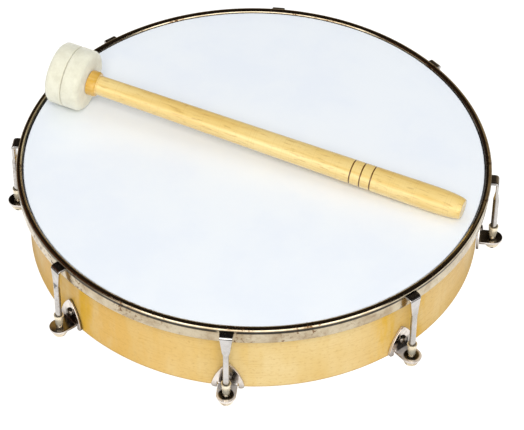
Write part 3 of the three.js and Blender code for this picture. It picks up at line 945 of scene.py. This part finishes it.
def make_screws():
    """Bowl-headed slotted screws, each on its own body, with the thread on the shank."""
    rim = SCREW_HEAD_DIAMETER / 2
    flat = SCREW_HEAD_FLAT / 2
    rim_foot = SCREW_HEAD_HEIGHT - SCREW_HEAD_RIM
    half_slot = SCREW_SLOT_WIDTH / 2
    edge = 0.3 * MM
    sunk = 0.2 * MM
    profile = [(0.0, 0.0)]
    profile += arc(flat, rim_foot, rim - flat, -90, 0, 16, rim_foot)
    profile += arc(rim - edge, SCREW_HEAD_HEIGHT - edge, edge, 0, 90, 5)
    profile += [(0.0, SCREW_HEAD_HEIGHT)]
    finish = nickel_finish("screw_nickel", rgb(232, 220, 198), rgb(208, 192, 162), 0.12, 0.8, 0.85)

    # Painted shade in the slot and on the head's top under the lug's shelf.
    def shade_at(point):
        by_slot = abs(point.x - SCREW_CIRCLE) < 1.2 * half_slot and point.z < SCREW_HEAD_HEIGHT / 2
        return 0.9 if by_slot or point.z > SCREW_HEAD_HEIGHT - edge else 0.0

    slot_low = (SCREW_CIRCLE - half_slot, -SCREW_HEAD_DIAMETER, -1 * MM)
    slot_high = (SCREW_CIRCLE + half_slot, SCREW_HEAD_DIAMETER, SCREW_SLOT_DEPTH)
    for index in range(HOOK_COUNT):
        name = f"screw_{index + 1}"
        head = turned(name, profile, ROD_STEPS, place=Matrix.Translation((SCREW_CIRCLE, 0, 0)))
        cut(head, [block("slot", slot_low, slot_high)])
        mark_points(head, "painted_shade", shade_at)
        screw = join(name, [head, make_thread(SCREW_HEAD_HEIGHT - sunk, SHANK_TOP)])
        around_drum(screw, finish, 1, hook_angle(index))
        dress(screw, finish, name, "nickel", f"tension_screw_{index + 1}")


def curve(start, control, end, steps):
    """Points of a curve that leaves and meets its ends towards the control point."""
    shares = [k / steps for k in range(steps + 1)]
    return [start * (1 - t) ** 2 + control * 2 * t * (1 - t) + end * t ** 2 for t in shares]


def lug_sheet():
    """Middle surface of a lug at angle 0: a plate on the shell and its tongue bent out as the shelf."""
    notch = SHELF_WIDTH / 2 + SHELF_RELIEF
    tongue = SHELF_WIDTH / 2
    ear = notch + LUG_EAR
    plate = LUG_BACK + LUG_THICKNESS / 2
    bend_top = SHELF_TOP + LUG_BEND
    bend = LUG_BEND + LUG_THICKNESS / 2
    shelf = SHELF_TOP - LUG_THICKNESS / 2
    corner_steps = 8
    side_steps = 16
    bend_steps = 10
    round_steps = 18
    hole_steps = 12
    hole = SHANK_DIAMETER / 2 + GAP

    ear_foot = Vector((ear - LUG_CORNER_ROUND, LUG_FOOT))
    ear_top = Vector((ear, LUG_FOOT + LUG_CORNER_ROUND))
    crown = Vector((LUG_CROWN, LUG_PEAK - LUG_CROWN_DROP))
    rise = (crown - ear_top).normalized()
    bulge = (ear_top + crown) / 2 + Vector((rise.y, -rise.x)) * 2 * LUG_SIDE_BULGE
    right = [Vector((tongue, bend_top)), Vector((notch, bend_top)), Vector((notch, LUG_FOOT))]
    right += curve(ear_foot, Vector((ear, LUG_FOOT)), ear_top, corner_steps)
    right += curve(ear_top, bulge, crown, side_steps)[1:]
    peak = Vector((0.0, LUG_PEAK + LUG_CROWN_DROP))
    top = curve(crown, peak, Vector((-crown.x, crown.y)), 2 * corner_steps)[1:-1]
    left = [Vector((-p.x, p.y)) for p in reversed(right)]
    points = [(plate, 0.0, bend_top)] + [(plate, p.x, p.y) for p in right + top + left]
    faces = [list(range(len(points)))]

    row = [len(points) - 1, 0, 1]
    for k in range(1, bend_steps + 1):
        angle = math.radians(180 + 90 * k / bend_steps)
        radius = plate + bend + bend * math.cos(angle)
        height = bend_top + bend * math.sin(angle)
        below = [len(points) + i for i in range(3)]
        points += [(radius, side * tongue, height) for side in (-1, 0, 1)]
        faces += [[below[i], below[i + 1], row[i + 1], row[i]] for i in range(2)]
        row = below

    hole_arc = arc(SCREW_CIRCLE, 0.0, hole, 180, 0, hole_steps)
    tip_arc = arc(SHELF_TIP - tongue, 0.0, tongue, 0, 90, round_steps)
    outline = hole_arc + tip_arc
    on_axis = (0, hole_steps, hole_steps + 1)
    right_half = []
    for k, (radius, across) in enumerate(outline):
        right_half.append(len(points))
        points.append((radius, 0.0 if k in on_axis else across, shelf))
    left_half = []
    for k, (radius, across) in enumerate(outline):
        if k in on_axis:
            left_half.append(right_half[k])
        else:
            left_half.append(len(points))
            points.append((radius, -across, shelf))
    faces.append([row[1], *right_half, row[2]])
    faces.append([row[1], row[0], *reversed(left_half)])
    return mesh_object("lugs", points, faces)


def make_lugs():
    """Stamped lugs: the sheet is given its thickness and softened edges."""
    lug = lug_sheet()
    thick = lug.modifiers.new("thickness", "SOLIDIFY")
    thick.thickness = LUG_THICKNESS
    thick.offset = 0.0
    thick.use_even_offset = True
    soft = lug.modifiers.new("edges", "BEVEL")
    soft.width = 0.2 * MM
    soft.segments = 2
    soft.limit_method = "ANGLE"
    soft.angle_limit = math.radians(50)
    settle(lug, 15)

    # Painted shade along the plate's edges by the wood, and a painted dark reflection over the shelf.
    def shade_at(point):
        by_wood = np.interp(point.x, (LUG_FRONT - 0.5 * MM, LUG_FRONT - 0.1 * MM), (0.9, 0.0))
        from_hole = math.hypot(point.x - SCREW_CIRCLE, point.y)
        is_shelf = point.x > LUG_FRONT and point.z > SHELF_TOP - 0.05 * MM
        on_shelf = np.interp(from_hole, (3 * MM, 5.3 * MM), (0.97, 0.9)) if is_shelf else 0.0
        from_plate = np.interp(point.x, (LUG_FRONT, LUG_FRONT + 4 * MM), (0.8, 1.0))
        return max(by_wood, on_shelf * from_plate)

    mark_points(lug, "painted_shade", shade_at)
    mark_points(lug, "stamped_at", tuple)
    finish = nickel_finish("lug_nickel", rgb(228, 220, 213), rgb(204, 196, 189), 0.08, 0.3,
                           extra_shade=shelf_reflection, highlighted=lit_shelf_rims)
    dress_copies(lug, finish, "shell", "lug")


def make_rivets():
    """Low domed rivet heads outside the lugs, clinched flat inside the shell."""
    head_foot = RIVET_CROWN - RIVET_HEAD_HEIGHT
    clinch_top = RIVET_CLINCH + RIVET_CLINCH_HEIGHT
    head = RIVET_HEAD_DIAMETER / 2
    shank = RIVET_DIAMETER / 2
    edge = 0.25 * MM
    profile = [(0.0, RIVET_CLINCH)]
    profile += arc(head - edge, RIVET_CLINCH + edge, edge, -90, 0, 4)
    profile += [(head, clinch_top), (shank, clinch_top), (shank, head_foot)]
    profile += arc(0.0, head_foot, head, 0, 90, 12, RIVET_HEAD_HEIGHT)[:-1]
    profile += [(0.0, RIVET_CROWN)]
    lying = Matrix.Translation((0, 0, RIVET_HEIGHT)) @ Matrix.Rotation(QUARTER_TURN, 4, "Y")
    rivet = turned("lug_rivets", profile, ROD_STEPS, place=lying)
    # The rivets' nickel is tinted dark as painted shade, within the plate's painted reflection of the
    # shelf.
    finish = nickel_finish("rivet_nickel", rgb(128, 120, 112), rgb(102, 94, 86), 0.2, 0.6)
    dress_copies(rivet, finish, "shell", "lug_rivet")


def beater_place():
    """Frame of the beater: +Z along the handle from the front of the felt, +X mostly upwards."""
    def points(node):
        return np.array([v.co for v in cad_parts[node].data.vertices])
    front = points("beater_felt_front")
    back = points("beater_felt_back")
    along = Vector(front.mean(axis=0) - back.mean(axis=0)).normalized()
    middle = Vector(front.mean(axis=0))
    reach = max(Vector(p).dot(along) for p in front) + GAP
    origin = middle + along * (reach - middle.dot(along))
    side = along.cross(Vector((0, 0, 1))).normalized()
    up = side.cross(along)
    turn = Matrix((up, side, along)).transposed().to_4x4()
    return Matrix.Translation(origin) @ turn


def make_handle(place):
    """Turned handle: tenon, collar and neck, a long taper with fine grooves, and a round butt."""
    shaft_start = COLLAR_LENGTH + NECK_LENGTH
    grip_start = shaft_start + SHAFT_LENGTH
    belly_start = grip_start + GRIP_TAPER
    butt_start = belly_start + GRIP_BELLY
    butt_end = butt_start + BUTT_ROUND
    felt_back = 2 * (FELT_DISC + GAP)
    shaft = SHAFT_DIAMETER / 2
    grip = GRIP_DIAMETER / 2
    butt = BUTT_DIAMETER / 2
    collar = COLLAR_DIAMETER / 2
    tenon = TENON_DIAMETER / 2
    edge = 0.4 * MM

    def taper(along):
        return shaft + (grip - shaft) * (along - shaft_start) / (belly_start - shaft_start)

    profile = [(0.0, -felt_back)]
    profile += arc(tenon - edge, edge - felt_back, edge, -90, 0, 4)
    profile += [(tenon, 0.0)]
    collar_start = len(profile)
    profile += arc(collar - edge, edge, edge, -90, 0, 5)
    chamfer_start = COLLAR_LENGTH - COLLAR_CHAMFER
    profile += arc(COLLAR_RIM / 2, chamfer_start, collar - COLLAR_RIM / 2, 0, 80, 8, COLLAR_CHAMFER)
    collar_rows = slice(collar_start, len(profile))
    neck_middle = COLLAR_LENGTH + NECK_LENGTH / 2
    neck_depth = shaft - NECK_DIAMETER / 2
    profile += arc(shaft, neck_middle, neck_depth, 250, 110, 10, NECK_LENGTH / 2)
    grooves = []
    for index in range(GROOVE_COUNT):
        middle = grip_start + GROOVE_INSET + index * GROOVE_PITCH
        half = GROOVE_WIDTH / 2
        profile += [(taper(middle - half - edge), middle - half - edge)]
        start = len(profile)
        profile += arc(taper(middle), middle, GROOVE_DEPTH, 270, 90, 8, half)
        grooves += range(start + 1, len(profile) - 1)
        profile += [(taper(middle + half + edge), middle + half + edge)]
    last_stretch = belly_start - GRIP_TAPER / 3
    profile += line((taper(last_stretch), last_stretch), (grip, belly_start), 3)
    profile += arc(butt, butt_start, grip - butt, 0, 84, 16, BUTT_ROUND)
    profile += [(butt, butt_end - 0.05 * MM), (butt - edge, butt_end), (0.0, butt_end)]
    stain = [1.0 if row in grooves else 0.0 for row in range(len(profile))]
    amber = [0.0] * len(profile)
    amber[collar_rows] = [1.0] * len(amber[collar_rows])
    marks = {"stain": stain, "amber": amber}
    handle = turned("beater_handle_turned", profile, HANDLE_STEPS, marks, place)
    dress(handle, beech_finish(), "beater", "beech", "beater_handle")


def make_felt(name, node, bottom, bottom_round, top_round, finish, place, tree, seed):
    """One felt disc, with a soft uneven surface."""
    bore = TENON_DIAMETER / 2 + CLOSE_FIT
    radius = FELT_DIAMETER / 2
    top = bottom + FELT_DISC
    lump = 0.22 * MM
    rings = 10
    profile = line((bore, bottom), (radius - bottom_round, bottom), rings)
    profile += arc(radius - bottom_round, bottom + bottom_round, bottom_round, -90, 0, 10)
    profile += line((radius, bottom + bottom_round), (radius, top - top_round), 8)[1:]
    profile += arc(radius - top_round, top - top_round, top_round, 0, 90, 10)
    profile += line((radius - top_round, top), (bore, top), rings)[1:] + [(bore, top)]
    seam_reach = 1.2 * MM
    faces_seam = bottom if bottom_round < top_round else top
    marks = [max(0.0, 1 - abs(height - faces_seam) / seam_reach) for _, height in profile]
    felt = turned(name, profile, FELT_STEPS, {"seam": marks}, place, smooth=60)
    axis_point = place.translation
    axis = place.to_3x3().col[2]
    for vertex in felt.data.vertices:
        offset = vertex.co - axis_point
        outwards = offset - axis * offset.dot(axis)
        if outwards.length > bore + 1 * MM:
            sway = noise.noise(vertex.co * 140) + 0.6 * noise.noise(vertex.co * 420)
            vertex.co -= outwards.normalized() * lump * (0.5 + 0.5 * sway)
    felt = join(name, [felt, loose_fibres(felt, tree, finish, seed)])
    dress(felt, finish, "beater", "felt", node)


def fuzz_tree():
    """Short loose fibres standing out of a felt surface at every angle."""
    inputs = {"Felt": "Geometry", "Density": "Float", "Length": "Float", "Thickness": "Float",
              "Seed": "Int", "Finish": "Material"}
    graph, given = open_tree("felt_fuzz", inputs)
    seed = given["Seed"]
    spread = graph.node("GeometryNodeDistributePointsOnFaces", None,
                        {"Mesh": given["Felt"], "Density": given["Density"], "Seed": seed})
    facing = spread.output("Rotation")
    fibre = graph.node("GeometryNodeMeshCone", {"fill_type": "NGON"},
                       {"Vertices": 3, "Radius Top": 0.0, "Radius Bottom": given["Thickness"],
                        "Depth": given["Length"]})
    least = (-FIBRE_LEAN, -FIBRE_LEAN, 0.0)
    most = (FIBRE_LEAN, FIBRE_LEAN, FULL_TURN)
    lean = graph.node("FunctionNodeRandomValue", {"data_type": "FLOAT_VECTOR"},
                      {"Min": least, "Max": most, "Seed": seed})
    turn = graph.node("FunctionNodeRotateRotation", {"rotation_space": "LOCAL"},
                      {"Rotation": facing, "Rotate By": lean})
    size = graph.node("FunctionNodeRandomValue", {"data_type": "FLOAT"},
                      {2: FIBRE_SMALLEST, 3: FIBRE_LARGEST, "Seed": seed}, 1)
    graph.end_in_copies(given["Finish"], Points=spread, Instance=fibre, Rotation=turn, Scale=size)
    return graph.tree


def loose_fibres(felt, tree, finish, seed):
    fibres = scene_object("fibres", felt.data.copy())
    return run_tree(fibres, tree, {"Density": FIBRE_DENSITY, "Length": FIBRE_LENGTH,
                                   "Thickness": FIBRE_THICKNESS, "Seed": seed, "Finish": finish})


def make_beater():
    place = beater_place()
    make_handle(place)
    finish = felt_finish()
    fuzz = fuzz_tree()
    disc = GAP + FELT_DISC
    make_felt("felt_front", "beater_felt_front", -disc, FELT_SEAM_ROUND, FELT_ROUND,
              finish, place, fuzz, seed=3)
    make_felt("felt_back", "beater_felt_back", -2 * disc, FELT_ROUND, FELT_SEAM_ROUND,
              finish, place, fuzz, seed=8)


# Room, light and camera


def make_floor():
    """A white glowing floor. Metal sees a painted shadow under the drum, dark to the left, and tan far
    behind.
    """
    reach = 6.0
    corners = [(-reach, -reach, 0), (reach, -reach, 0), (reach, reach, 0), (-reach, reach, 0)]
    floor = mesh_object("floor", corners, [(0, 1, 2, 3)])
    floor.location.z = -0.05 * MM
    finish = Finish("white_floor", Roughness=0.9, **{"Base Color": (0.3, 0.3, 0.3, 1)})
    finish.set({"Specular IOR Level": 0.0, "Emission Strength": 1.0})
    where = finish.flat_place()
    radius = finish.length(where)
    white = (0.92, 0.92, 0.91, 1)
    brown = (0.03, 0.02, 0.012, 1)
    tan = (0.3, 0.23, 0.13, 1)
    clear_of_drum = radius.between(0.128, 0.136)
    close = radius.until(0.188, 0.21)
    front_right = finish.heading(where, 0.53, -0.848).between(0.12, 0.3)
    behind = finish.heading(where, 0, 1).between(0.2, 0.5)
    patches = finish.noise(where, 5.0, 3.0, 0.6)
    far = finish.mix(behind * patches.between(0.35, 0.6), brown, tan)
    seen = finish.mix(clear_of_drum * close.or_higher(front_right), far, white)
    metal = finish.node("ShaderNodeLightPath", output="Is Glossy Ray")
    finish.set({"Emission Color": finish.mix(metal, white, seen)})
    floor.data.materials.append(finish.material)


def make_world():
    """A pale room for plain surfaces.

    Metal sees a bright band low in front, tan straight behind and behind on the right, red-brown on
    the left, and dark elsewhere.
    """
    world = bpy.data.worlds.new("studio")
    bpy.context.scene.world = world
    world.use_nodes = True
    graph = Graph(world.node_tree)
    background = world.node_tree.nodes["Background"]
    place = graph.node("ShaderNodeTexCoord", output="Generated")
    aside, _, upwards = graph.parts(place)
    mottle = graph.noise(place, 3.2, 3.0, 0.55)
    towards_front = graph.heading(place, 0.1, -0.995)
    band = towards_front.between(0.5, 0.66) * upwards.until(0.46, 0.58)
    straight_back = towards_front.until(-0.995, -0.965) * upwards.until(0.35, 0.6)
    right_back = towards_front.until(-0.7, -0.5) * upwards.until(0.64, 0.8) * aside.between(0.02, 0.14)
    tan = mottle.between(0.3, 0.55) * straight_back.or_higher(right_back)
    red_brown = aside.until(-0.85, -0.55) * upwards.until(0.6, 0.8)
    seen_in_metal = graph.layers(
        (0.014, 0.009, 0.006, 1),
        (tan, (0.4, 0.31, 0.19, 1)),
        (red_brown, (0.085, 0.032, 0.011, 1)),
        (band, (3.3, 3.25, 3.18, 1)),
    )
    metal = graph.node("ShaderNodeLightPath", output="Is Glossy Ray")
    graph.feed(background.inputs["Color"], graph.mix(metal, (0.38, 0.4, 0.43, 1), seen_in_metal))
    graph.feed(background.inputs["Strength"], 1.0)


def make_light(name, place, target, size, power):
    """A soft square lamp that metal doesn't show."""
    data = bpy.data.lights.new(name, "AREA")
    data.size = size
    data.energy = power
    lamp = scene_object(name, data)
    lamp.location = place
    lamp.rotation_mode = "QUATERNION"
    lamp.rotation_quaternion = (Vector(target) - Vector(place)).to_track_quat("-Z", "Y")
    lamp.visible_glossy = False


def make_camera():
    """A long lens 44 degrees above the floor, a little to the right of the front."""
    turn = math.radians(5.684)
    rise = math.radians(43.898)
    roll = math.radians(0.581)
    distance = 1.44
    aside = 4.65 * MM
    above = 6.027 * MM
    focal_pixels = 2533.5
    image_width = 524
    data = bpy.data.cameras.new("photo_view")
    data.sensor_width = 36.0
    data.lens = data.sensor_width * focal_pixels / image_width
    data.clip_start = 0.05
    data.clip_end = 40.0
    camera = scene_object("photo_view", data)
    aim = Matrix.Rotation(turn, 4, "Z") @ Matrix.Rotation(QUARTER_TURN - rise, 4, "X")
    place = Matrix.Translation((aside, above, distance))
    camera.matrix_world = aim @ place @ Matrix.Rotation(roll, 4, "Z")
    bpy.context.scene.camera = camera


make_camera()
make_floor()
make_world()
make_light("overhead", (-0.1, 0.2, 1.6), (0, 0, 0), 1.6, 4.6)
make_light("key", (0.3, -1.85, 2.05), (0, 0, 0.03), 1.3, 50)
copies_tree = around_drum_tree()
make_shell()
make_head()
make_flesh_hoop()
make_tension_hoop()
make_hooks()
make_ferrules()
make_screws()
make_lugs()
make_rivets()
make_beater()

bpy.context.scene.view_settings.view_transform = "Standard"
